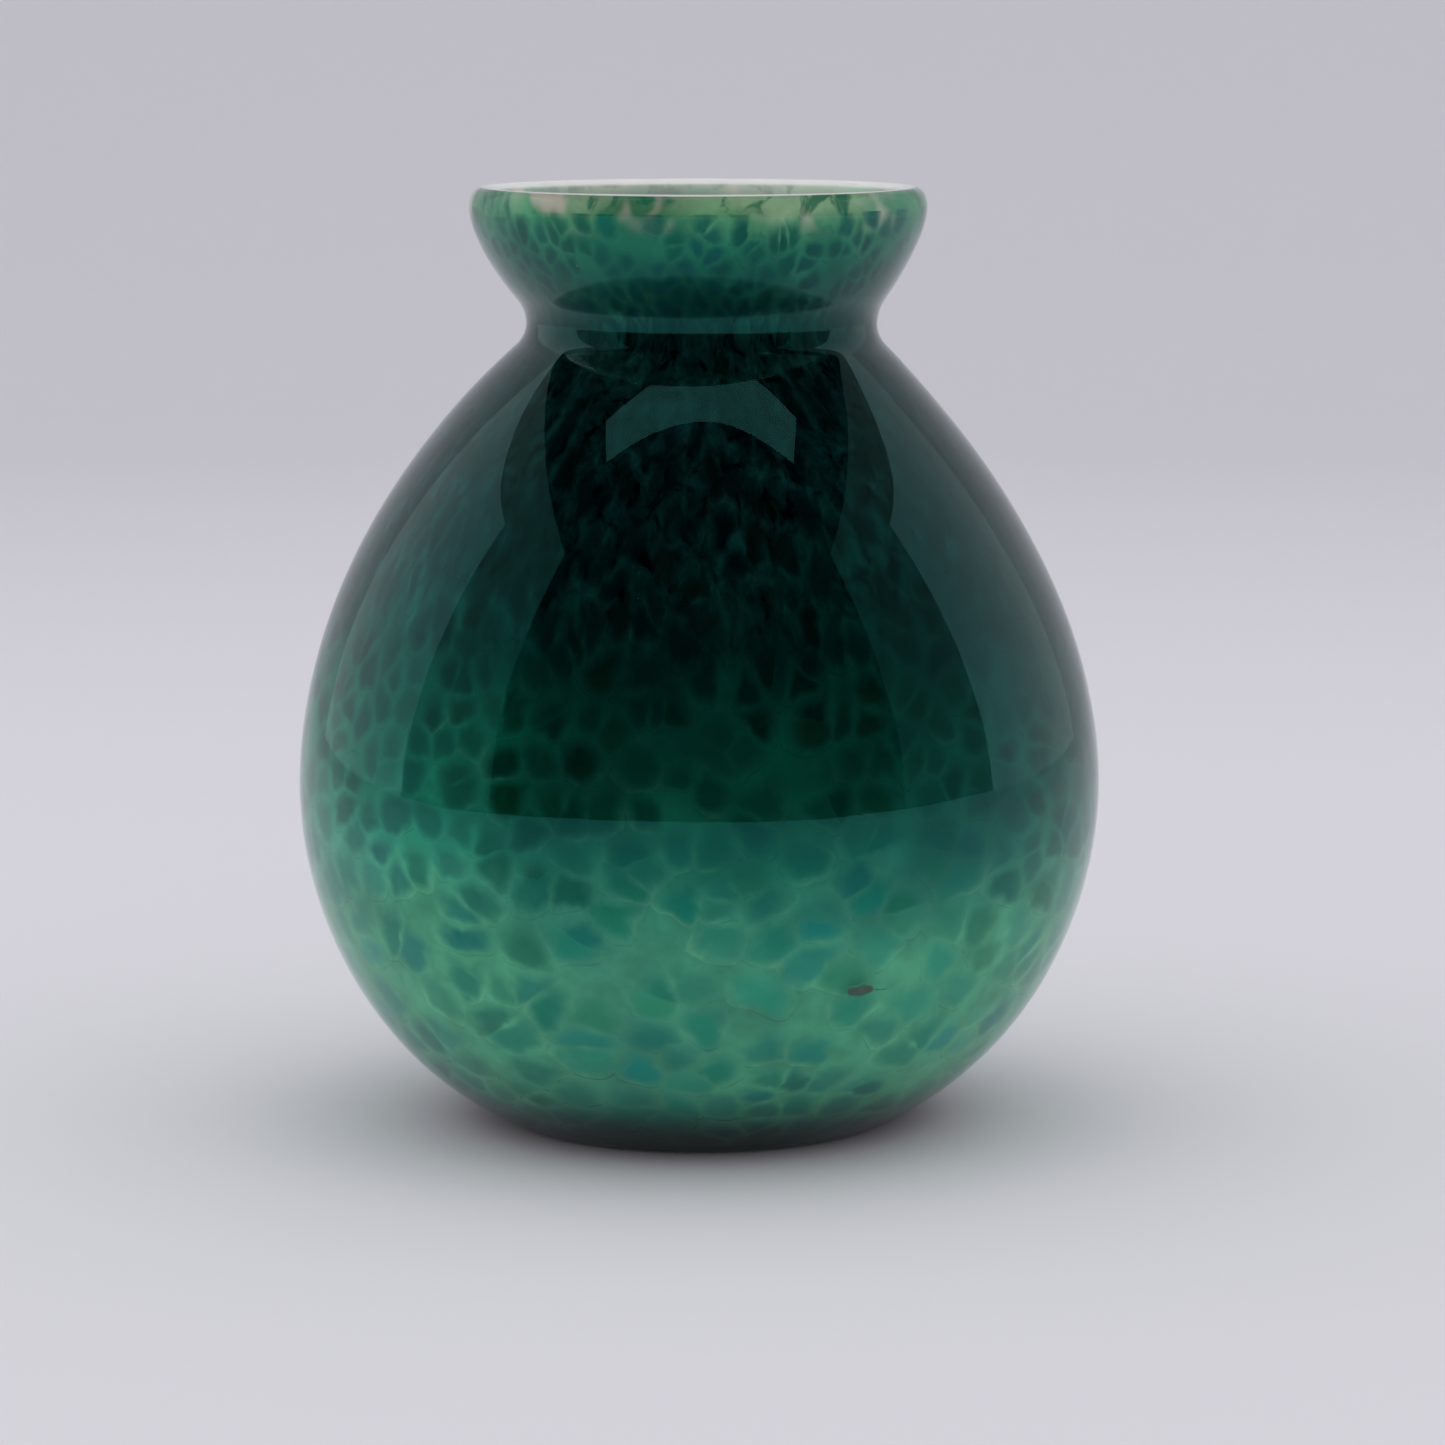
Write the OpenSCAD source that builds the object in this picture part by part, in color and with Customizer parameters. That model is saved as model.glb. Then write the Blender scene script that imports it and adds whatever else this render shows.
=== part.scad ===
// Hand blown, cased glass vase: a round belly, a drawn-in neck with a sharp
// groove and a short cupped collar. The vessel is fused from layers of glass:
// a white opal lining, a thin yellow-green ground, chips of coloured frit on
// the ground and a thick clear casing over everything.
// Millimetres, +Z up, origin in the middle of the foot.

/* [Vessel outline] */
// Overall height from the foot to the top of the lip
height = 190; // [188:0.5:196]
// Outer radius of the flat ring the vase stands on
foot_r = 40; // [36:0.5:44]
// Largest radius of the belly
belly_r = 81.5; // [78:0.5:86]
// Height of the widest part of the belly
belly_z = 69; // [66:0.5:73]
// Radius at the bottom of the neck groove
neck_r = 35.3; // [33:0.1:38]
// Height of the neck groove
neck_z = 163; // [160:0.5:164]
// Largest radius of the collar
collar_r = 46.2; // [44:0.1:49]
// Height of the rounded lip above the widest part of the collar
lip_h = 3.8; // [3:0.1:5]

/* [Layers of glass] */
// Thickness of the clear casing on the wall
casing_t = 3; // [2.9:0.1:3.4]
// Thickness of the yellow-green ground
ground_t = 0.8; // [0.4:0.1:1.2]
// Thickness of the white opal lining
opal_t = 1.4; // [1:0.1:2]
// Thickness of clear glass under the ground in the middle of the bottom
base_t = 6; // [5:0.5:8]

/* [Foot] */
// Inner radius of the flat foot ring
ring_r = 30; // [22:0.5:31]
// Depth of the hollow inside the foot ring
hollow_d = 1.4; // [0.8:0.1:1.8]
// Radius of the ground and polished pontil dish
pontil_r = 12; // [8:0.5:16]
// Depth of the pontil dish below the hollow
pontil_d = 1; // [0.4:0.1:1.4]

/* [Frit chips] */
// Chips in each row around the vessel
chips_round = 18; // [9:3:18]
// Thickness of one chip
chip_t = 0.8; // [0.5:0.1:1]
// Rows of chips below the widest part of the belly
rows_low = 5; // [3:1:5]
// Rows of chips between the belly and the neck
rows_high = 6; // [3:1:6]
// Rows of chips on the collar
rows_collar = 1; // [1:1:1]
// Clear glass between a chip and the ground
chip_gap = 0.2; // [0.15:0.05:0.3]

/* [Brown stone and seed bubbles] */
// Length of the brown stone
stone_l = 6; // [3:0.5:8]
// Width of the brown stone
stone_w = 3; // [1:0.5:4]
// Thickness of the brown stone
stone_t = 0.8; // [0.4:0.1:0.8]
// Angle of the stone to the right of the front
stone_az = 25; // [0:1:60]
// Height of the stone
stone_z = 38; // [30:1:44]
// Radius of a seed bubble
seed_r = 0.35; // [0.2:0.05:0.4]

/* [Hidden] */
$fn = 96;

// Curves are cubics, each a list of four [radius, height] points.
function bez(c, t) = pow(1 - t, 3) * c[0] + 3 * t * pow(1 - t, 2) * c[1]
                   + 3 * t * t * (1 - t) * c[2] + pow(t, 3) * c[3];
function dbez(c, t) = 3 * pow(1 - t, 2) * (c[1] - c[0])
                    + 6 * t * (1 - t) * (c[2] - c[1])
                    + 3 * t * t * (c[3] - c[2]);
// Unit normal, pointing out of the vessel, of a curve that runs upwards
function nrm(c, t) = let (d = dbez(c, t)) [d[1], -d[0]] / norm(d);
// Point at parameter t, moved inwards by w
function inset(c, t, w) = bez(c, t) - w * nrm(c, t);
function along(c, n, w, first = 0) = [for (i = [first:n]) inset(c, i / n, w)];

// Outside of the vessel, from the foot to the lip
collar_z = height - lip_h;
low = [[foot_r, 0], [foot_r + 27, 13],
       [belly_r, belly_z - 27.5], [belly_r, belly_z]];
groove = [[neck_r + 2, neck_z - 4.8], [neck_r - 0.5, neck_z - 2.4],
          [neck_r - 0.5, neck_z + 1.4], [neck_r + 2.1, neck_z + 4.7]];
high = [[belly_r, belly_z], [belly_r, belly_z + 26.5],
        groove[0] + 12.4 * (groove[0] - groove[1]), groove[0]];
collar = [groove[3], groove[3] + (groove[3] - groove[2]),
          [collar_r, collar_z - 6], [collar_r, collar_z]];

// Walls of the layers, measured in from the outside
w1 = casing_t;
w2 = casing_t + ground_t;
w3 = casing_t + ground_t + opal_t;
lip_c = collar_r - w3 / 2;
// Bottom of a layer that lies w in from the outside: level in the middle,
// then a curve up to the belly
function bowl(w) = let (b = base_t + w - w1, r = foot_r - 6)
    [[r, b], [r + 30, b + 3], [belly_r - w, belly_z - 22], [belly_r - w, belly_z]];
function bowl_pts(w, n = 14) = concat([[0, base_t + w - w1]],
    [for (i = [0:n]) bez(bowl(w), i / n)]);
// Side of a layer from the belly to the collar, w in from the outside
function side_pts(w) = concat(along(high, 14, w, 1), along(groove, 6, w, 1),
                              along(collar, 8, w, 1));
// Point on the lip that lies w in from the outside of the collar
function lip_a(w) = acos(max(-1, min(1, (w3 / 2 - w) / (w3 / 2))));
function lip_pt(a) = [lip_c + w3 / 2 * cos(a), collar_z + lip_h * sin(a)];
function lip_pts(a, b, n) = [for (i = [1:n]) lip_pt(a + (b - a) * i / n)];
function back(p) = [for (i = [len(p) - 1:-1:0]) p[i]];
// Inner boundary of a layer, from the middle of the bottom to the collar
function wall(w) = concat(bowl_pts(w), side_pts(w));

// A ring of glass between two walls, closed along the lip
module layer(wa, wb) {
    rotate_extrude() polygon(concat(
        wall(wa), lip_pts(lip_a(wa), lip_a(wb), 3), back(wall(wb))));
}

// Underside: hollow inside the foot ring, with the pontil dish in its middle
hollow = [[0, hollow_d], [ring_r * 0.5, hollow_d], [ring_r * 0.8, 0.6], [ring_r, 0]];
function dish_z(r) = bez(hollow, 0.45)[1] + pontil_d * (1 - pow(r / pontil_r, 2));
underside = concat(
    [for (i = [0:4]) [pontil_r * i / 4, dish_z(pontil_r * i / 4)]],
    [for (i = [1:6]) bez(hollow, 0.48 + 0.52 * i / 6)]);

// Chips. Each lies flat on the ground, at parameter t of a wall curve.
function ground_at(k, t) = k == 0 ? bez(bowl(w1), t)
                         : k == 1 ? inset(high, t, w1) : inset(collar, t, w1);
function ground_n(k, t) = k == 0 ? nrm(bowl(w1), t)
                        : k == 1 ? nrm(high, t) : nrm(collar, t);
// Rows, each [curve, parameter, room along the wall for one row]
step_low = 0.72 / (rows_low - 1);
step_high = 0.78 / (rows_high - 1);
rows = concat(
    [for (i = [0:rows_low - 1]) let (t = 0.2 + step_low * i)
        [0, t, step_low * norm(dbez(bowl(w1), t))]],
    [for (i = [0:rows_high - 1]) let (t = 0.07 + step_high * i)
        [1, t, step_high * norm(dbez(high, t))]],
    [for (i = [0:rows_collar - 1]) [2, 0.5, 12]]);
// Repeatable uneven numbers between -1 and 1
function odd(i, j) = sin(131 * i + 77 * j + 40 * sin(53 * i - 91 * j));

module chip(j, i) {
    k = rows[j][0];
    t = rows[j][1];
    p = ground_at(k, t);
    n = ground_n(k, t);
    pitch = 360 * p[0] / (57.3 * chips_round);
    az = 360 * (i + (j % 2) / 2) / chips_round + 1.2 * odd(i, j);
    // round on the belly, drawn out into streaks towards the neck
    w = min(pitch * (0.42 + 0.05 * odd(j, i)), 0.9 * rows[j][2]);
    l = k == 0 ? w : k == 1 ? rows[j][2] * (0.82 + 0.1 * odd(i + 5, j)) : w + 3;
    rotate([0, 0, az]) translate([p[0] + n[0] * chip_gap, 0, p[1] + n[1] * chip_gap])
        rotate([0, atan2(n[0], n[1]), 0]) {
            if (l < w + 0.5) cylinder(d = min(l, w), h = chip_t);
            else linear_extrude(chip_t) union() {
                square([l - w, w], center = true);
                for (s = [-1, 1]) translate([s * (l - w) / 2, 0]) circle(d = w);
            }
        }
}
module chips(c) {
    for (j = [0:len(rows) - 1], i = [0:chips_round - 1])
        if ((i + 2 * j) % 3 == c) chip(j, i);
}

// The stone lies flat in the casing, between the chips and the outside.
module stone_shape() {
    p = [for (t = [0.3:0.005:1]) if (bez(low, t)[1] <= stone_z) t];
    t = p[len(p) - 1];
    q = inset(low, t, 1.25);
    n = nrm(low, t);
    rotate([0, 0, stone_az - 90]) translate([q[0], 0, q[1]])
        rotate([0, atan2(n[0], n[1]), 0]) rotate([0, 0, 94])
            linear_extrude(stone_t) union() {
                square([stone_l - stone_w, stone_w], center = true);
                for (s = [-1, 1]) translate([s * (stone_l - stone_w) / 2, 0])
                    circle(d = stone_w);
            }
}
// Seed bubbles: tiny closed voids near the outside of the casing
seeds = [[0.3, -16], [0.52, -9], [0.4, 38], [0.22, 112], [0.6, 165], [0.35, -128]];
module seed_bubbles() {
    for (s = seeds) {
        p = inset(high, s[0], 0.9);
        rotate([0, 0, s[1] - 90]) translate([p[0], 0, p[1]]) sphere(r = seed_r);
    }
}

module clear_casing() {
    color([0.8, 0.95, 0.9, 0.3]) difference() {
        rotate_extrude() polygon(concat(
            underside, along(low, 14, 0), along(high, 16, 0, 1),
            along(groove, 6, 0, 1), along(collar, 8, 0, 1),
            lip_pts(0, 90, 5), lip_pts(90, lip_a(w1), 1), back(wall(w1))));
        for (c = [0:2]) chips(c);
        stone_shape();
        seed_bubbles();
    }
}
module colour_ground() { color([0.62, 0.78, 0.5, 0.7]) layer(w1, w2); }
module opal_lining() { color([0.93, 0.93, 0.9]) layer(w2, w3); }
module frit_emerald() { color([0.02, 0.3, 0.18]) chips(0); }
module frit_teal() { color([0.02, 0.36, 0.36]) chips(1); }
module frit_olive() { color([0.2, 0.3, 0.08]) chips(2); }
module brown_stone() { color([0.36, 0.14, 0.07]) stone_shape(); }

clear_casing();
colour_ground();
opal_lining();
frit_emerald();
frit_teal();
frit_olive();
brown_stone();
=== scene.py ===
import bpy, math
import numpy as np
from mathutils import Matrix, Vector, noise


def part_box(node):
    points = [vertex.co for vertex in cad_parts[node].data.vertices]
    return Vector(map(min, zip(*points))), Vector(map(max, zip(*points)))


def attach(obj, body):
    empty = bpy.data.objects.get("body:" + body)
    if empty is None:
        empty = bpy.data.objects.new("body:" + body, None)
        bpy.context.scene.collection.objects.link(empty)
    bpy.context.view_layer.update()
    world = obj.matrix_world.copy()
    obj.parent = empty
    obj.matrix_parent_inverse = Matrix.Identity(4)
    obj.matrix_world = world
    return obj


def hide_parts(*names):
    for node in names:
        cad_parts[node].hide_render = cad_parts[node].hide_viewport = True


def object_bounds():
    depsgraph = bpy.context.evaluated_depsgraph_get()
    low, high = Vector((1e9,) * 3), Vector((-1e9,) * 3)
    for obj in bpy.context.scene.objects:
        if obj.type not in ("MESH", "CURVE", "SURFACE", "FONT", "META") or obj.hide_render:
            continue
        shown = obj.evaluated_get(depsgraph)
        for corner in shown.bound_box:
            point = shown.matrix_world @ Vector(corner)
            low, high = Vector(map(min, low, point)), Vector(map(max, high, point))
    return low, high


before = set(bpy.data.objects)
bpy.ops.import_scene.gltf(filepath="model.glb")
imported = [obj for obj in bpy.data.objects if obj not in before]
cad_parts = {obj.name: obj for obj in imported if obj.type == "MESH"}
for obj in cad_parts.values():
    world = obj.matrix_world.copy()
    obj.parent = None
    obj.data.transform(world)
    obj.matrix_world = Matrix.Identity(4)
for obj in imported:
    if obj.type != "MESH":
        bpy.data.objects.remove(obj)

MM = 0.001
cad_box = [[float(c) for c in v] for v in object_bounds()]
lo, hi = (np.array(v) for v in cad_box)
TOP = float(hi[2])

# ------------------------------------------------------------------ outline
# The vessel's curves in millimetres, as the frame has them.
foot_r, belly_r, belly_z, neck_r, neck_z = 40.0, 81.5, 69.0, 35.3, 163.0
collar_r, height, lip_h, base_t = 46.2, 190.0, 3.8, 6.0
W1, W2, W3 = 3.0, 3.8, 5.2
collar_z = height - lip_h
LOW = [[foot_r, 0], [foot_r + 27, 13], [belly_r, belly_z - 27.5], [belly_r, belly_z]]
GROOVE = [[neck_r + 2, neck_z - 4.8], [neck_r - 0.5, neck_z - 2.4], [neck_r - 0.5, neck_z + 1.4], [neck_r + 2.1, neck_z + 4.7]]
HIGH = [[belly_r, belly_z], [belly_r, belly_z + 26.5], [GROOVE[0][0] + 31, GROOVE[0][1] - 12.4 * 2.4], GROOVE[0]]
COLLAR = [GROOVE[3], [GROOVE[3][0] + 2.6, GROOVE[3][1] + 3.3], [collar_r, collar_z - 6], [collar_r, collar_z]]
assert abs(TOP - height * MM) < 1e-4 and abs(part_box("clear_casing")[1][0] - belly_r * MM) < 2e-4


def bez(c, t):
    c, t = np.array(c, float), np.atleast_1d(np.asarray(t, float))[:, None]
    return (1 - t) ** 3 * c[0] + 3 * t * (1 - t) ** 2 * c[1] + 3 * t * t * (1 - t) * c[2] + t ** 3 * c[3]


def resample(p, n):
    """n points evenly spaced along the polyline p."""
    s = np.r_[0, np.cumsum(np.linalg.norm(np.diff(p, axis=0), axis=1))]
    u = np.linspace(0, s[-1], n)
    return np.c_[np.interp(u, s, p[:, 0]), np.interp(u, s, p[:, 1])]


fine = np.linspace(0, 1, 400)
outer = np.vstack([bez(LOW, fine), bez(HIGH, fine)[1:], bez(GROOVE, fine)[1:], bez(COLLAR, fine)[1:]])
tang = np.gradient(outer, axis=0)
tang /= np.linalg.norm(tang, axis=1)[:, None]
outn = np.c_[tang[:, 1], -tang[:, 0]]
arc = np.r_[0, np.cumsum(np.linalg.norm(np.diff(outer, axis=0), axis=1))]
ARC = float(arc[-1])


def wall_at(s, w):
    """[radius, height] and outward normal of the wall at arc length s, w in from the outside."""
    s = np.asarray(s, float)
    p = np.stack([np.interp(s, arc, outer[:, k]) for k in (0, 1)], -1)
    n = np.stack([np.interp(s, arc, outn[:, k]) for k in (0, 1)], -1)
    n /= np.linalg.norm(n, axis=-1)[..., None]
    return p - n * np.asarray(w)[..., None], n


S_BELLY = float(np.interp(400, np.arange(len(arc)), arc))   # arc length at the belly
S_NECK = float(np.interp(800, np.arange(len(arc)), arc))    # and at the neck groove
lip_c = collar_r - W3 / 2


def lip_arc(a, b, n, inset=0.0):
    """The rounded lip from angle a to b, in degrees from the outside, inset from its surface."""
    t = np.radians(np.linspace(a, b, n))
    return np.c_[lip_c + (W3 / 2 - inset) * np.cos(t), collar_z + (lip_h - inset) * np.sin(t)]


def bowl(w):
    b, r = base_t + w - W1, foot_r - 6
    return [[r, b], [r + 30, b + 3], [belly_r - w, belly_z - 22], [belly_r - w, belly_z]]


def wall(w, n=150):
    """Inner boundary w in from the outside, from the bottom's edge to the collar."""
    low = bez(bowl(w), fine)
    s = np.linspace(S_BELLY, ARC, 900)[1:]
    return resample(np.vstack([low, wall_at(s, np.full(len(s), w))[0]]), n)


# ------------------------------------------------------------------ hand-made unevenness
def shape_off(co):
    """Slow departures from a true round that every layer shares, in millimetres: (dx, dy, radial)."""
    x, y, z = co[:, 0], co[:, 1], co[:, 2]
    th = np.arctan2(y, x)
    up = np.clip(z / height, 0, 1)
    dx = 0.75 * np.exp(-((z - 163) / 11) ** 2) - 0.30 * np.exp(-((z - 125) / 24) ** 2)
    dy = 0.35 * np.exp(-((z - 150) / 25) ** 2)
    body = np.clip(z / 14, 0, 1) * np.clip((205 - z) / 40, 0, 1)
    rad = body * (0.22 * np.sin(2 * th + 0.6 + 2.2 * up) + 0.10 * np.sin(3 * th + 2.1 - 3.0 * up) + 0.05 * np.sin(5 * th + 5 * up))
    return dx * body, dy * body, rad


def ripple(co, amp):
    """Fine waves of a fire-polished surface, in millimetres."""
    out = np.empty(len(co))
    for i, (x, y, z) in enumerate(co):
        out[i] = (0.55 * noise.noise(Vector((x / 34, y / 34, z / 26))) * 1.5
                  + 0.16 * noise.noise(Vector((x / 13 + 7, y / 13, z / 11))))
    return out * amp


def shaped(co, amp=0.0):
    co = np.asarray(co, float).copy()
    dx, dy, rad = shape_off(co)
    r = np.hypot(co[:, 0], co[:, 1])
    k = np.where(r > 1e-6, 1 + rad * np.clip(r / 30, 0, 1) / np.maximum(r, 1e-6), 1)
    if amp:
        k += np.where(r > 1e-6, ripple(co, amp) * np.clip(r / 30, 0, 1) / np.maximum(r, 1e-6), 0)
    co[:, 0] = co[:, 0] * k + dx
    co[:, 1] = co[:, 1] * k + dy
    return co


# ------------------------------------------------------------------ mesh helpers
def make(name, co_mm, faces, mat, body="root"):
    me = bpy.data.meshes.new(name)
    me.from_pydata((np.asarray(co_mm) * MM).tolist(), [], faces)
    me.validate()
    me.polygons.foreach_set("use_smooth", np.ones(len(me.polygons), bool))
    me.materials.append(mat)
    ob = bpy.data.objects.new(name, me)
    bpy.context.scene.collection.objects.link(ob)
    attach(ob, body)
    return ob


def revolve(prof, n):
    """Closed skin round the axis. prof runs from one point on the axis to another, or round a closed ring."""
    prof = np.asarray(prof, float)
    th = np.linspace(0, 2 * np.pi, n, endpoint=False)
    c, s = np.cos(th), np.sin(th)
    caps = prof[0, 0] < 1e-6 and prof[-1, 0] < 1e-6
    body = prof[1:-1] if caps else prof
    co = np.stack([body[:, 0, None] * c, body[:, 0, None] * s, np.repeat(body[:, 1, None], n, 1)], -1).reshape(-1, 3)
    m, faces = len(body), []
    last = m - 1 if caps else m
    for i in range(last):
        a, b = i * n, ((i + 1) % m) * n
        for j in range(n):
            k = (j + 1) % n
            faces.append((a + j, a + k, b + k, b + j))
    if caps:
        co = np.vstack([co, [[0, 0, prof[0, 1]], [0, 0, prof[-1, 1]]]])
        p0, p1 = len(co) - 2, len(co) - 1
        for j in range(n):
            k = (j + 1) % n
            faces.append((p0, k, j))
            faces.append((p1, (m - 1) * n + j, (m - 1) * n + k))
    return co, faces


# ------------------------------------------------------------------ material helpers
def new_mat(name):
    m = bpy.data.materials.new(name)
    m.use_nodes = True
    m.node_tree.nodes.clear()
    return m, m.node_tree


class G:
    """Short names for building nodes."""
    def __init__(self, nt):
        self.nt = nt

    def n(self, kind, **kw):
        node = self.nt.nodes.new(kind)
        for k, v in kw.items():
            setattr(node, k, v)
        return node

    def link(self, a, b):
        self.nt.links.new(a, b)

    def put(self, sock, v):
        if isinstance(v, bpy.types.NodeSocket):
            self.link(v, sock)
        elif v is not None:
            sock.default_value = v

    def math(self, op, a, b=None, c=None, clamp=False):
        m = self.n("ShaderNodeMath", operation=op, use_clamp=clamp)
        for i, v in enumerate((a, b, c)):
            if v is not None:
                self.put(m.inputs[i], v)
        return m.outputs[0]

    def mix(self, f, a, b, blend="MIX"):
        m = self.n("ShaderNodeMix", data_type="RGBA", blend_type=blend)
        self.put(m.inputs[0], f)
        for i, v in ((6, a), (7, b)):
            self.put(m.inputs[i], v if isinstance(v, bpy.types.NodeSocket) else (*v, 1.0))
        return m.outputs[2]

    def noise(self, vec, scale, detail=3.0, rough=0.5, dist=0.0):
        t = self.n("ShaderNodeTexNoise")
        self.put(t.inputs["Vector"], vec)
        t.inputs["Scale"].default_value = scale
        t.inputs["Detail"].default_value = detail
        t.inputs["Roughness"].default_value = rough
        t.inputs["Distortion"].default_value = dist
        return t.outputs["Fac"]

    def ramp(self, f, stops, interp="LINEAR"):
        r = self.n("ShaderNodeValToRGB")
        r.color_ramp.interpolation = interp
        e = r.color_ramp.elements
        while len(e) > 1:
            e.remove(e[-1])
        e[0].position, e[0].color = stops[0][0], (*stops[0][1], 1)
        for p, col in stops[1:]:
            k = e.new(p)
            k.color = (*col, 1)
        self.put(r.inputs[0], f)
        return r.outputs[0]

    def fit(self, v, a, b, c=0.0, d=1.0, smooth=True):
        m = self.n("ShaderNodeMapRange", interpolation_type="SMOOTHSTEP" if smooth else "LINEAR")
        self.put(m.inputs[0], v)
        for i, x in enumerate((a, b, c, d)):
            self.put(m.inputs[i + 1], x)
        return m.outputs[0]


def srgb(r, g, b):
    return tuple(((c / 255 + 0.055) / 1.055) ** 2.4 if c > 10.3 else c / 255 / 12.92 for c in (r, g, b))


# ------------------------------------------------------------------ camera
cam = bpy.data.objects.new("camera", bpy.data.cameras.new("camera"))
bpy.context.scene.collection.objects.link(cam)
cam.location = (0.00486, -1.006, 0.228)
cam.rotation_euler = (math.radians(90 - 8.326), 0, 0)
cam.data.sensor_width = 36.0
cam.data.lens = 36.0 * 4966.2 / 1445
cam.data.dof.use_dof = False
cam.data.clip_start = 0.01
bpy.context.scene.camera = cam
bpy.context.scene.view_settings.view_transform = "Standard"
bpy.context.scene.view_settings.look = "None"

# ------------------------------------------------------------------ glass colours
def by_height(g, z, stops):
    """Colour ramp over the height, stops in millimetres."""
    return g.ramp(g.math("DIVIDE", z, 0.2), [(h / 200.0, c) for h, c in stops])


# Colour of the ground (WEB) and of the chips (CELL) by height. The lighter zone below 56 mm is partly the glass itself
# and partly a painted reflection of the bright floor. The darkening towards the foot, below 12 mm, is painted shade
# where the contact shadow falls.
WEB = [(1, (.003, .045, .028)), (6, (.011, .130, .082)), (12, (.042, .240, .142)), (20, (.074, .320, .190)), (44, (.072, .310, .180)), (56, (.036, .205, .124)), (65, (.009, .108, .066)),
       (73, (.003, .060, .036)), (86, (.001, .038, .024)), (104, (.0005, .014, .011)), (126, (.0004, .0075, .0070)), (150, (.001, .008, .008)),
       (162, (.001, .012, .010)), (167, (.003, .034, .024)), (172, (.005, .056, .035)), (177, (.006, .090, .052)), (182, (.020, .160, .080)), (186, (.075, .25, .12)), (189, (.20, .34, .20))]
CELL = [(1, (.0005, .025, .017)), (6, (.001, .063, .045)), (12, (.003, .128, .086)), (20, (.010, .195, .128)), (44, (.010, .188, .126)), (56, (.002, .100, .071)), (65, (.0008, .047, .034)),
        (73, (.0004, .022, .013)), (86, (.0003, .012, .0075)), (104, (.0003, .0038, .0036)), (126, (.0003, .0022, .0022)), (150, (.0003, .0024, .0024)),
        (162, (.0004, .004, .004)), (167, (.0005, .014, .012)), (172, (.0008, .024, .020)), (177, (.001, .036, .029)), (182, (.0013, .054, .040)), (186, (.003, .080, .050)), (189, (.02, .15, .085))]


def position(g):
    co = g.n("ShaderNodeTexCoord").outputs["Object"]
    sep = g.n("ShaderNodeSeparateXYZ")
    g.link(co, sep.inputs[0])
    return co, sep.outputs[2]


def melt_drift_and_painted_light(g, co, z, colour):
    """Partly the melt's own colour and partly painted light: the belly is brighter and greener on the left and at the
    back, where more lamp light fell, and darker and bluer on the right and at the front.
    """
    sep = g.n("ShaderNodeSeparateXYZ")
    g.link(co, sep.inputs[0])
    x, y = sep.outputs[0], sep.outputs[1]
    mid = g.math("MULTIPLY", g.fit(z, 0.050, 0.078), g.fit(z, 0.145, 0.162, 1, 0.2))
    left = g.math("MULTIPLY", mid, g.fit(x, -0.022, -0.070))
    right = g.math("MULTIPLY", mid, g.fit(x, 0.020, 0.066))
    back = g.math("MULTIPLY", mid, g.fit(y, 0.010, 0.060))
    hs = g.n("ShaderNodeHueSaturation")
    g.put(hs.inputs["Color"], colour)
    v = g.math("ADD", 1.0, g.math("MULTIPLY", left, 2.2))
    v = g.math("ADD", v, g.math("MULTIPLY", right, 0.1))
    g.put(hs.inputs["Value"], g.math("ADD", v, g.math("MULTIPLY", back, 1.6)))
    g.put(hs.inputs["Hue"], g.math("ADD", 0.5, g.math("MULTIPLY", right, 0.022)))
    return hs.outputs[0]


def streaks(g, co, z):
    """Glass drawn out up the shoulder: long thin streaks, none on the belly."""
    m = g.n("ShaderNodeMapping")
    g.link(co, m.inputs[0])
    m.inputs["Scale"].default_value = (1, 1, 0.10)
    n = g.noise(m.outputs[0], 300, 4, 0.6, 0.6)
    on = g.math("MULTIPLY", g.fit(z, 0.090, 0.125), g.fit(z, 0.163, 0.172, 1, 0.0))
    return g.math("MULTIPLY", g.math("SUBTRACT", n, 0.5), on)


def web_colour(g, co, z):
    """The ground as it shows round the chips: pale and yellow-green low down and at the lip, dark on the shoulder. Low
    down the paleness is partly painted reflection of the floor, and the darkening right at the foot is painted shade.
    """
    warp = g.math("ADD", z, g.math("MULTIPLY", g.math("SUBTRACT", g.noise(co, 42, 2), 0.5), 0.018))
    base = melt_drift_and_painted_light(g, co, z, by_height(g, warp, WEB))
    cloud = g.noise(co, 120, 4, 0.58)
    big = g.noise(co, 26, 2, 0.5)
    hsv = g.n("ShaderNodeHueSaturation")
    g.put(hsv.inputs["Color"], base)
    v = g.math("MULTIPLY", g.fit(cloud, 0.28, 0.72, 0.74, 1.26, smooth=False), g.fit(big, 0.32, 0.68, 0.82, 1.2))
    g.put(hsv.inputs["Value"], g.math("MULTIPLY", v, g.math("ADD", 1.0, g.math("MULTIPLY", streaks(g, co, z), 7.0)), clamp=False))
    g.put(hsv.inputs["Hue"], g.fit(big, 0.3, 0.7, 0.508, 0.49, smooth=False))
    # opal shows through in patches at the lip
    clot = g.math("MULTIPLY", g.fit(z, 0.178, 0.184), g.fit(g.noise(co, 150, 3, 0.6, 0.6), 0.50, 0.62, 0, 0.85))
    tinted = g.mix(clot, hsv.outputs[0], (0.015, 0.13, 0.07))
    lip = g.math("MULTIPLY", g.fit(z, 0.1815, 0.1885, 0, 0.85), g.fit(g.noise(co, 80, 2, 0.5), 0.55, 0.66))
    return g.mix(lip, tinted, (0.52, 0.47, 0.40))


def inner_glass(g, colour, bump=None):
    p = g.n("ShaderNodeBsdfPrincipled")
    g.put(p.inputs["Base Color"], colour)
    p.inputs["Roughness"].default_value = 0.6
    p.inputs["Specular IOR Level"].default_value = 0.0
    out = g.n("ShaderNodeOutputMaterial")
    g.link(p.outputs[0], out.inputs[0])
    return p


def ground_material():
    m, nt = new_mat("ground_glass")
    g = G(nt)
    co, z = position(g)
    inner_glass(g, web_colour(g, co, z))
    return m


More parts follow.
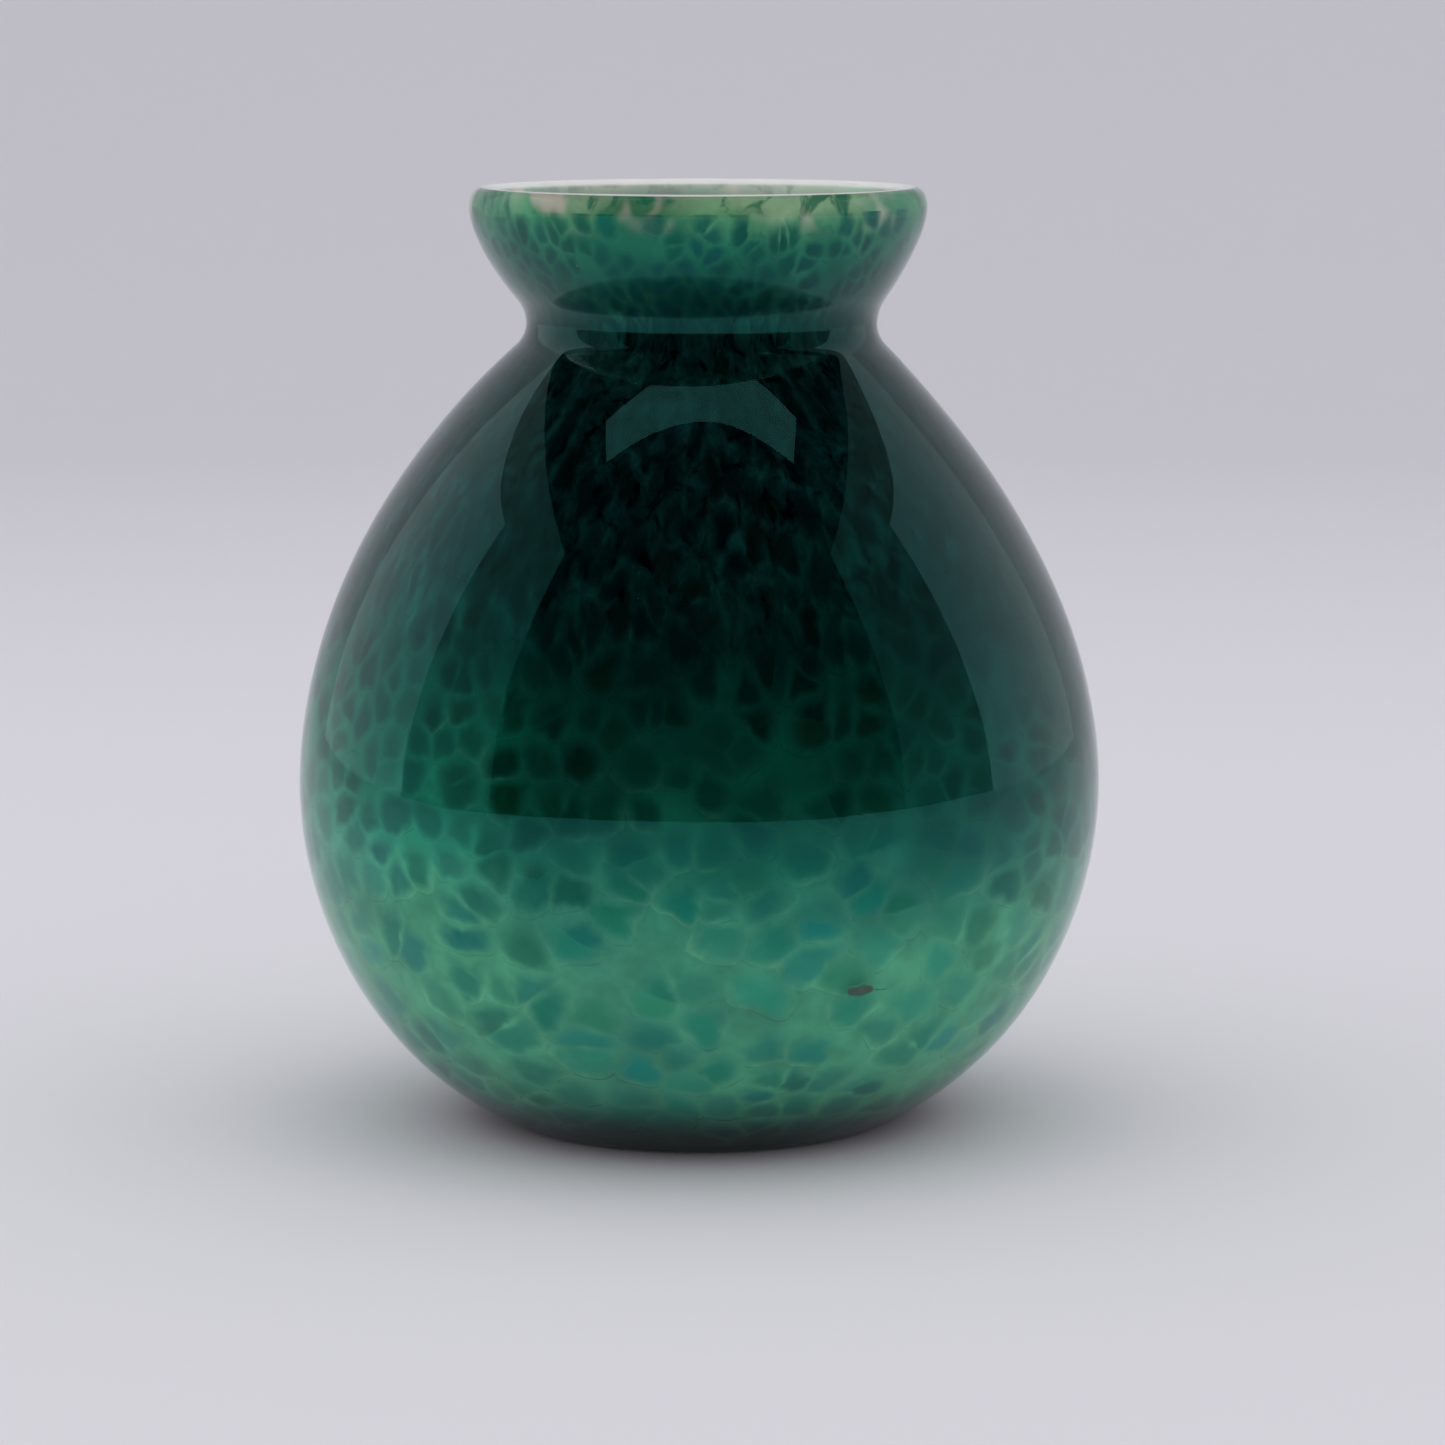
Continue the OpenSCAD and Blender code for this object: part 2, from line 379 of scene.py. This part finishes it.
def chip_material(name, tint, hue):
    """Melted chip: dense towards its lower rim, thinning to the ground's colour at its sides and top."""
    m, nt = new_mat(name)
    g = G(nt)
    co, z = position(g)
    att = {k: g.n("ShaderNodeAttribute", attribute_name=k).outputs["Fac"] for k in ("rim", "rise", "tone", "veil")}
    web = web_colour(g, co, z)
    cell = melt_drift_and_painted_light(g, co, z, by_height(g, z, CELL))
    cell = g.mix(1.0, cell, tint, "MULTIPLY")
    hs = g.n("ShaderNodeHueSaturation")
    g.put(hs.inputs["Color"], cell)
    g.put(hs.inputs["Value"], g.fit(att["tone"], 0, 1, 0.66, 1.45, smooth=False))
    g.put(hs.inputs["Hue"], hue)
    # how deep into the chip, with a ragged, melted outline
    rag = g.math("ADD", att["rim"], g.math("MULTIPLY", g.math("SUBTRACT", g.noise(co, 175, 4, 0.6), 0.5), 0.80))
    reach = g.fit(att["rise"], 0.10, 0.95, 0.50, 1.12)
    soft = g.fit(rag, g.fit(att["rise"], 0.1, 0.7, 0.03, -0.06), reach)
    dens = g.math("MULTIPLY", soft, att["veil"])
    dens = g.math("MULTIPLY", dens, g.fit(g.noise(co, 420, 3, 0.6), 0.25, 0.75, 0.84, 1.0, smooth=False))
    # paler threads of the ground squeezed up along the lower rims
    thread = g.math("MULTIPLY", g.fit(rag, 0.0, 0.50, 1, 0), g.fit(att["rise"], 0.35, 0.85, 1, 0))
    thread = g.math("MULTIPLY", thread, g.fit(g.noise(co, 85, 2, 0.5), 0.46, 0.70, 0.0, 1.0))
    pale = g.n("ShaderNodeHueSaturation")
    g.put(pale.inputs["Color"], web)
    g.put(pale.inputs["Value"], g.math("ADD", 1.0, g.math("MULTIPLY", thread, 0.18)))
    g.put(pale.inputs["Saturation"], g.math("SUBTRACT", 1.0, g.math("MULTIPLY", thread, 0.08)))
    warm = g.mix(thread, pale.outputs[0], g.mix(1.0, pale.outputs[0], (1.12, 1.02, 0.96), "MULTIPLY"))
    inner_glass(g, g.mix(dens, warm, hs.outputs[0]))
    return m


def opal_material():
    """White opal lining; it thins out at the mouth, where the colour comes through it."""
    m, nt = new_mat("opal_glass")
    g = G(nt)
    co, z = position(g)
    v = g.noise(co, 40, 4, 0.55)
    c = g.ramp(v, [(0.3, (0.72, 0.73, 0.70)), (0.7, (0.84, 0.85, 0.82))])
    web = web_colour(g, co, z)
    c = g.mix(g.fit(z, 0.162, 0.184, 0, 0.62), c, web)
    # painted highlight: the crest of the rim turns whiter, where light catches it
    c = g.mix(g.fit(z, 0.1884, 0.1892, 0, 0.85), c, (0.86, 0.87, 0.85))
    p = g.n("ShaderNodeBsdfPrincipled")
    g.put(p.inputs["Base Color"], c)
    g.put(p.inputs["Roughness"], g.fit(g.noise(co, 120, 2), 0.3, 0.7, 0.06, 0.16))
    p.inputs["Subsurface Weight"].default_value = 0.25
    p.inputs["Subsurface Radius"].default_value = (0.004, 0.005, 0.0045)
    p.inputs["Subsurface Scale"].default_value = 1.0
    out = g.n("ShaderNodeOutputMaterial")
    g.link(p.outputs[0], out.inputs[0])
    return m


def clear_material():
    """Clear casing. Lamps reach the colour under it straight through."""
    m, nt = new_mat("clear_glass")
    g = G(nt)
    co, z = position(g)
    p = g.n("ShaderNodeBsdfPrincipled")
    p.inputs["Base Color"].default_value = (0.95, 1.0, 0.975, 1)
    p.inputs["Transmission Weight"].default_value = 1.0
    p.inputs["IOR"].default_value = 1.53
    p.inputs["Specular Tint"].default_value = (0.14, 1.0, 0.9, 1)
    g.put(p.inputs["Roughness"], g.fit(g.noise(co, 60, 3), 0.3, 0.8, 0.0, 0.012))
    t = g.n("ShaderNodeBsdfTransparent")
    # painted contact shadow: near the foot the casing lets little lamp light through, darkening the floor and the
    # colour under it
    foot = g.fit(z, 0.003, 0.014, 0.02, 1.0)
    grey = g.n("ShaderNodeCombineColor")
    for k in range(3):
        g.link(foot, grey.inputs[k])
    g.link(grey.outputs[0], t.inputs["Color"])
    lp = g.n("ShaderNodeLightPath")
    mix = g.n("ShaderNodeMixShader")
    g.link(g.math("MAXIMUM", lp.outputs["Is Shadow Ray"], lp.outputs["Is Diffuse Ray"]), mix.inputs[0])
    g.link(p.outputs[0], mix.inputs[1])
    g.link(t.outputs[0], mix.inputs[2])
    out = g.n("ShaderNodeOutputMaterial")
    g.link(mix.outputs[0], out.inputs[0])
    return m


def stone_material():
    m, nt = new_mat("stone")
    g = G(nt)
    co, z = position(g)
    c = g.ramp(g.noise(co, 700, 4, 0.6), [(0.3, (0.050, 0.036, 0.028)), (0.55, (0.085, 0.055, 0.040)), (0.75, (0.11, 0.085, 0.060))])
    edge = g.n("ShaderNodeAttribute", attribute_name="edge").outputs["Fac"]
    web = by_height(g, z, [(30, (.030, .21, .135)), (45, (.030, .21, .135))])
    inner_glass(g, g.mix(g.fit(edge, 0.05, 1.0, 0, 0.85), web, c))
    return m


# ------------------------------------------------------------------ vessel
NA = 300


def casing():
    hollow = [[0, 1.4], [15, 1.4], [24, 0.6], [30, 0]]
    hb = bez(hollow, np.linspace(0.45, 1, 12))
    r = np.linspace(0, 12, 7)
    dish = np.c_[r, hb[0, 1] + 1.0 * (1 - (r / 12) ** 2)]
    foot = np.array([[33.0, 0], [37.0, 0], [39.5, 0.0]])
    side = resample(outer, 215)
    side = side[side[:, 1] > 0.35]
    lip = lip_arc(0, 180, 26)[1:]
    w = wall(W1 + 0.15, 90)
    w = w[w[:, 1] < 182.3][::-1]
    prof = np.vstack([dish, hb[1:], foot, side, lip, [[41.01, 185.6], [41.6, 185.2], [42.6, 184.4]], w, [[0, base_t + 0.15]]])
    co, faces = revolve(prof, NA)
    # the fine ripple is on the outside only
    n_out = (len(dish) - 1 + len(hb) - 1 + len(foot) + len(side) + len(lip)) * NA
    flat = shaped(co)
    wavy = shaped(co[:n_out], 0.13)
    k = (np.clip((co[:n_out, 2] - 2) / 10, 0, 1) * np.clip((188 - co[:n_out, 2]) / 8, 0.25, 1))[:, None]
    flat[:n_out] = flat[:n_out] * (1 - k) + wavy * k
    # seed bubbles: small closed voids, skin facing inwards
    co_l, f_l = [flat], list(faces)
    base = len(flat)
    rng = np.random.default_rng(11)
    spots = [(-9.2, 114.4, 0.36), (-15.6, 97.0, 0.32), (38, 122, 0.28), (64, 60, 0.3), (-70, 80, 0.34), (112, 132, 0.3), (165, 88, 0.4), (-128, 48, 0.3), (20, 178, 0.22), (-34, 176, 0.2)]
    for az, zz, rad in spots:
        i = int(np.argmin(np.abs(outer[:, 1] - zz)))
        a = math.radians(az - 90)
        rr = outer[i, 0] - 0.9
        c = shaped([[rr * math.cos(a), rr * math.sin(a), zz]])[0]
        m = 8
        th = np.linspace(0, np.pi, m + 1)
        pr = np.c_[np.sin(th) * rad, -np.cos(th) * rad * 1.25]
        pr[0, 0] = pr[-1, 0] = 0
        bc, bf = revolve(pr, 12)
        co_l.append(bc + c)
        f_l += [tuple(base + v for v in reversed(f)) for f in bf]
        base += len(bc)
    return make("casing_clear", np.vstack(co_l), f_l, clear_material())


def ground():
    out = wall(W1, 170)
    inn = wall(W2, 90)
    top = lip_arc(84, 100, 5, 0.75)
    out = out[out[:, 1] < 185.8]
    inn = inn[inn[:, 1] < 185.8]
    prof = np.vstack([[[0, base_t]], [[16, base_t]], out, top, inn[::-1], [[16, base_t + 0.8]], [[0, base_t + 0.8]]])
    co, faces = revolve(prof, NA)
    return make("ground_colour", shaped(co), faces, ground_material())


def opal():
    out = wall(W2 - 0.04, 90)
    inn = wall(W3, 130)
    out = out[out[:, 1] < 185.2]
    inn = inn[inn[:, 1] < 185.4]
    top = lip_arc(84, 176, 16, 0.16)
    prof = np.vstack([[[0, base_t + 0.76]], [[16, base_t + 0.76]], out, top, inn[::-1], [[16, base_t + 2.2]], [[0, base_t + 2.2]]])
    co, faces = revolve(prof, 240)
    return make("lining_opal", shaped(co), faces, opal_material())


# ------------------------------------------------------------------ frit chips
gpath = wall(W1, 1200)
garc = np.r_[0, np.cumsum(np.linalg.norm(np.diff(gpath, axis=0), axis=1))]
gt = np.gradient(gpath, axis=0)
gt /= np.linalg.norm(gt, axis=1)[:, None]
gnrm = np.c_[gt[:, 1], -gt[:, 0]]


def on_ground(theta, s, h):
    s = np.clip(s, garc[0], garc[-1])
    p = [np.interp(s, garc, gpath[:, k]) for k in (0, 1)]
    n = [np.interp(s, garc, gnrm[:, k]) for k in (0, 1)]
    ln = np.hypot(*n)
    r, z = p[0] + n[0] / ln * h, p[1] + n[1] / ln * h
    return np.stack([r * np.cos(theta), r * np.sin(theta), z], -1)


def chip_size(z, r):
    """Width round the vessel and length along the wall of a typical chip, mm."""
    w = np.interp(z, [6, 20, 45, 66, 90, 120, 160, 163, 175, 186], [8.4, 10.6, 10.6, 8.8, 7.4, 5.6, 3.4, 3.4, 3.9, 3.9])
    h = np.interp(z, [6, 20, 45, 66, 90, 120, 150, 160, 163, 175, 186], [7.4, 9.4, 9.4, 8.2, 8.0, 12.0, 19.0, 18.0, 7.0, 5.4, 4.4])
    return w, h


def chips():
    rng = np.random.default_rng(585)
    seeds = []
    s, row = 2.0, 0
    while s < garc[-1] - 1.0:
        r, z = (float(np.interp(s, garc, gpath[:, k])) for k in (0, 1))
        w, h = chip_size(z, r)
        n = max(8, int(round(2 * math.pi * r / w)))
        off = 0.5 * (row % 2) + rng.uniform(-0.2, 0.2)
        for i in range(n):
            th = (i + off + rng.uniform(-0.48, 0.48)) * 2 * math.pi / n
            k = rng.uniform(0.8, 1.25)
            seeds.append((th % (2 * math.pi), s + rng.uniform(-0.48, 0.48) * h, w * k, h * k, r, z))
        s += 0.80 * h
        row += 1
    S = np.array(seeds)
    S = S[(S[:, 1] > 0.5) & (S[:, 1] < garc[-1] - 0.8)]
    S[:, 4] = np.interp(S[:, 1], garc, gpath[:, 0])
    S[:, 5] = np.interp(S[:, 1], garc, gpath[:, 1])
    rings, spokes = (0.0, 0.28, 0.5, 0.68, 0.82, 0.92, 1.0), 26
    groups = {k: ([], [], {"rim": [], "rise": [], "tone": [], "veil": []}, [0], []) for k in ("emerald", "teal", "olive")}
    phi = np.linspace(0, 2 * np.pi, spokes, endpoint=False)
    for i, (th, s, w, h, r, z) in enumerate(S):
        # some of the ground stays bare, more of it at the lip
        bare = np.interp(z, [20, 60, 80, 150, 172, 180, 186], [0.12, 0.10, 0.06, 0.03, 0.04, 0.10, 0.16])
        u0, kind_r, tone, veil = rng.uniform(), rng.uniform(), rng.uniform(), rng.uniform()
        wob = rng.uniform(-1, 1, 8)
        if u0 < bare:
            continue
        du = ((S[:, 0] - th + np.pi) % (2 * np.pi) - np.pi) * r / w
        dv = (S[:, 1] - s) / h
        d = np.hypot(du, dv)
        near = (d > 1e-9) & (d < 2.6)
        du, dv, d = du[near], dv[near], np.maximum(d[near], 0.42)
        cosf = np.cos(phi[:, None] - np.arctan2(dv, du)[None, :])
        q = np.clip(cosf, 0, None) / (d / 2)[None, :]
        R = (q ** 6).sum(1) ** (-1 / 6)
        R = np.minimum(R, 0.80) * (1.22 + 0.10 * wob[0])
        R *= 1 + 0.09 * np.sin(2 * phi + 3 * wob[1]) + 0.07 * np.sin(3 * phi + 3 * wob[2]) + 0.045 * np.sin(5 * phi + 3 * wob[3]) + 0.03 * np.sin(8 * phi + 3 * wob[6])
        x, y = r * math.cos(th), r * math.sin(th)
        field = noise.noise(Vector((x / 45 + 3, y / 45, z / 45)))
        field2 = noise.noise(Vector((x / 30 - 9, y / 30, z / 30 + 4)))
        v = kind_r + 0.9 * field
        kind = "teal" if v < 0.42 else "emerald" if v < 0.88 else "olive"
        tone = float(np.clip(0.5 + 0.75 * (tone - 0.5) + 0.8 * field2, 0, 1))
        # low on the belly and at the lip many chips are thin and pale
        thin = float(np.interp(z, [10, 50, 75, 110, 160, 170, 186], [0.50, 0.52, 0.55, 0.55, 0.5, 0.74, 0.80]))
        veil = thin + (1 - thin) * float(np.clip(veil * 1.15, 0, 1))
        co_l, f_l, att, count, smooth = groups[kind]
        base = count[0]
        lift = 0.045 * wob[4]
        lean = 0.16 * wob[5] * (h / 10)
        pts, n0 = [], len(att["rim"])
        for k, rho in enumerate(rings):
            hgt = 0.22 * (1 - rho * rho) ** 0.8 - 0.03 + lift * (1 - rho)
            if k == 0:
                pts.append(on_ground(np.array([th]), np.array([s]), hgt))
                att["rim"] += [1.0]
                att["rise"] += [0.5]
            else:
                uu, vv = R * rho * np.cos(phi) * w, R * rho * np.sin(phi) * h
                rise = rho * np.sin(phi)
                pts.append(on_ground(th + (uu + lean * vv) / r, s + vv, hgt - 0.045 * rise))
                att["rim"] += [1 - rho] * spokes
                att["rise"] += list(0.5 + 0.5 * rise)
        # an underside just below the ground's skin closes the chip
        uu, vv = R * np.cos(phi) * w, R * np.sin(phi) * h
        pts.append(on_ground(th + (uu + lean * vv) / r, s + vv, -0.17))
        pts.append(on_ground(np.array([th]), np.array([s]), -0.17))
        att["rim"] += [0.0] * (spokes + 1)
        att["rise"] += [0.5] * (spokes + 1)
        P = np.vstack(pts)
        co_l.append(P)
        att["tone"] += [tone] * len(P)
        att["veil"] += [veil] * len(P)
        nr = len(rings)
        for j in range(spokes):
            k = (j + 1) % spokes
            f_l.append((base, base + 1 + j, base + 1 + k))
            for q_ in range(nr - 1):
                a, b = base + 1 + q_ * spokes, base + 1 + (q_ + 1) * spokes
                f_l.append((a + j, b + j, b + k, a + k))
            a = base + 1 + (nr - 1) * spokes
            f_l.append((a + k, a + j, base + len(P) - 1))
            smooth += [True] * (nr - 1) + [False, False]
        count[0] += len(P)
    looks = {"emerald": ((1.0, 1.0, 0.96), 0.5), "teal": ((0.7, 0.92, 1.10), 0.503), "olive": ((1.9, 1.0, 0.80), 0.496)}
    made = []
    for kind, (co_l, f_l, att, count, smooth) in groups.items():
        ob = make("frit_" + kind + "_chips", shaped(np.vstack(co_l)), f_l, chip_material(kind + "_glass", *looks[kind]))
        if len(ob.data.polygons) == len(smooth):
            ob.data.polygons.foreach_set("use_smooth", np.array(smooth))
        for nm, vals in att.items():
            at = ob.data.attributes.new(nm, "FLOAT", "POINT")
            at.data.foreach_set("value", np.array(vals, np.float32))
        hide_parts("frit_" + kind)
        made.append(ob)
        print(kind, len(co_l), "chips", len(ob.data.polygons), "faces")
    return made


def stone():
    """Reddish brown inclusion under the skin, with a thin tail drawn out to its right."""
    az, zc = math.radians(25 - 90), 38.5
    i = int(np.argmin(np.abs(outer[:, 1] - zc)))
    s0 = arc[i]
    pts, faces, edge = [], [], []
    nu, nv = 40, 12
    r0 = outer[i, 0]
    for a in range(nu):
        t = a / (nu - 1)
        u = -3.0 + 9.5 * t
        body = max(0.0, 1 - ((u + 0.2) / 2.9) ** 2) ** 0.5
        tail = 0.16 * math.exp(-((u - 4.0) / 2.2) ** 2) * (1 + 0.4 * math.sin(4 * u))
        half_w = max(1.45 * body * (1 + 0.1 * math.sin(2.3 * u + 1)), tail, 0.02)
        half_t = max(0.36 * body, 0.10 * min(1, tail * 6), 0.01)
        mid = 0.12 * math.sin(1.1 * u) - 0.05 * u
        for b in range(nv):
            f = 2 * math.pi * b / nv
            vv = mid + half_w * math.cos(f)
            p, n = wall_at(np.array([s0 + vv]), np.array([1.0 - 0.0 * half_t - half_t * math.sin(f)]))
            th = az + u / r0
            pts.append([p[0, 0] * math.cos(th), p[0, 0] * math.sin(th), p[0, 1]])
            edge.append(1 - abs(math.cos(f)) ** 3 if body > 0.3 else 0.25)
    for a in range(nu - 1):
        for b in range(nv):
            c = (b + 1) % nv
            faces.append((a * nv + b, a * nv + c, (a + 1) * nv + c, (a + 1) * nv + b))
    faces.append(tuple(range(nv - 1, -1, -1)))
    faces.append(tuple((nu - 1) * nv + b for b in range(nv)))
    ob = make("stone_brown", shaped(pts), faces, stone_material())
    at = ob.data.attributes.new("edge", "FLOAT", "POINT")
    at.data.foreach_set("value", np.array(edge, np.float32))
    return ob


for ob, node, slot in ((casing(), "clear_casing", "clear_glass"), (ground(), "colour_ground", "ground_glass"),
                       (opal(), "opal_lining", "opal_glass"), (stone(), "brown_stone", "stone")):
    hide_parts(node)
chips()


# ------------------------------------------------------------------ stage and light
def stage_sweep():
    """A plain pale floor that curves up into a plain pale backdrop all round.

    The front half of the backdrop is its own object: the camera sees it from the other
    sides, but it takes no part in the light or in reflections.
    """
    rise = [(1.5 + 1.1 * math.sin(math.radians(7.5 * k)), 1.1 * (1 - math.cos(math.radians(7.5 * k)))) for k in range(1, 13)] + [(2.6, 2.4)]
    flat = [0.5, 1.0, 1.5]
    n, z0 = 96, -0.0002
    co, faces = [(0, 0, z0)], []
    for r in flat:
        co += [(r * math.cos(2 * math.pi * j / n), r * math.sin(2 * math.pi * j / n), z0) for j in range(n)]
    for j in range(n):
        k = (j + 1) % n
        faces.append((0, 1 + j, 1 + k))
        for i in range(len(flat) - 1):
            a, b = 1 + i * n, 1 + (i + 1) * n
            faces.append((a + j, b + j, b + k, a + k))
    # the back half of the wall belongs to the floor's sheet
    half = n // 2 + 1
    last = [1 + (len(flat) - 1) * n + j for j in range(half)]
    for r, z in rise:
        row = list(range(len(co), len(co) + half))
        co += [(r * math.cos(2 * math.pi * j / n), r * math.sin(2 * math.pi * j / n), z + z0) for j in range(half)]
        faces += [(last[j], row[j], row[j + 1], last[j + 1]) for j in range(half - 1)]
        last = row
    front, fronts = [], []
    rows = [(1.5, 0.0)] + rise
    for r, z in rows:
        front += [(r * math.cos(2 * math.pi * j / n), r * math.sin(2 * math.pi * j / n), z + z0) for j in range(n // 2, n + 1)]
    for i in range(len(rows) - 1):
        a, b = i * half, (i + 1) * half
        fronts += [(a + j, b + j, b + j + 1, a + j + 1) for j in range(half - 1)]
    m, nt = new_mat("stage_pale")
    g = G(nt)
    d = g.n("ShaderNodeBsdfDiffuse")
    d.inputs[0].default_value = (0.70, 0.692, 0.73, 1)
    out = g.n("ShaderNodeOutputMaterial")
    g.link(d.outputs[0], out.inputs[0])
    for name, verts, polys in (("stage_sweep", co, faces), ("stage_sweep_front", front, fronts)):
        me = bpy.data.meshes.new(name)
        me.from_pydata(verts, [], polys)
        me.polygons.foreach_set("use_smooth", np.ones(len(me.polygons), bool))
        me.materials.append(m)
        ob = bpy.data.objects.new(name, me)
        bpy.context.scene.collection.objects.link(ob)
    ob.visible_glossy = ob.visible_diffuse = ob.visible_shadow = False


def area(name, loc, rot, sx, sy, power, col=(1, 1, 1), glossy=True):
    la = bpy.data.lights.new(name, "AREA")
    la.shape, la.size, la.size_y, la.energy, la.color = "RECTANGLE", sx, sy, power, col
    ob = bpy.data.objects.new(name, la)
    ob.location, ob.rotation_euler = loc, rot
    ob.visible_camera = ob.visible_transmission = False
    ob.visible_glossy = glossy
    bpy.context.scene.collection.objects.link(ob)
    return ob


stage_sweep()
R90 = math.pi / 2
area("soft_top", (0, 0.15, 1.7), (0, 0, 0), 2.4, 2.4, 12, (1, 0.99, 0.99), glossy=False)
area("soft_strip", (0.01, -0.13, 0.80), (0, 0, 0), 0.70, 0.12, 0.13)
area("soft_left", (-0.80, 0.12, 0.56), (0, -R90, 0), 1.05, 1.25, 1.1)
area("soft_right", (0.80, 0.12, 0.56), (0, R90, 0), 1.05, 1.25, 0.75)

world = bpy.data.worlds.new("stage_air")
world.use_nodes = True
bg = world.node_tree.nodes.get("Background") or world.node_tree.nodes.new("ShaderNodeBackground")
bg.inputs[0].default_value = (0.955, 0.955, 0.985, 1)
bg.inputs[1].default_value = 0.72
world.cycles_visibility.glossy = False
bpy.context.scene.world = world
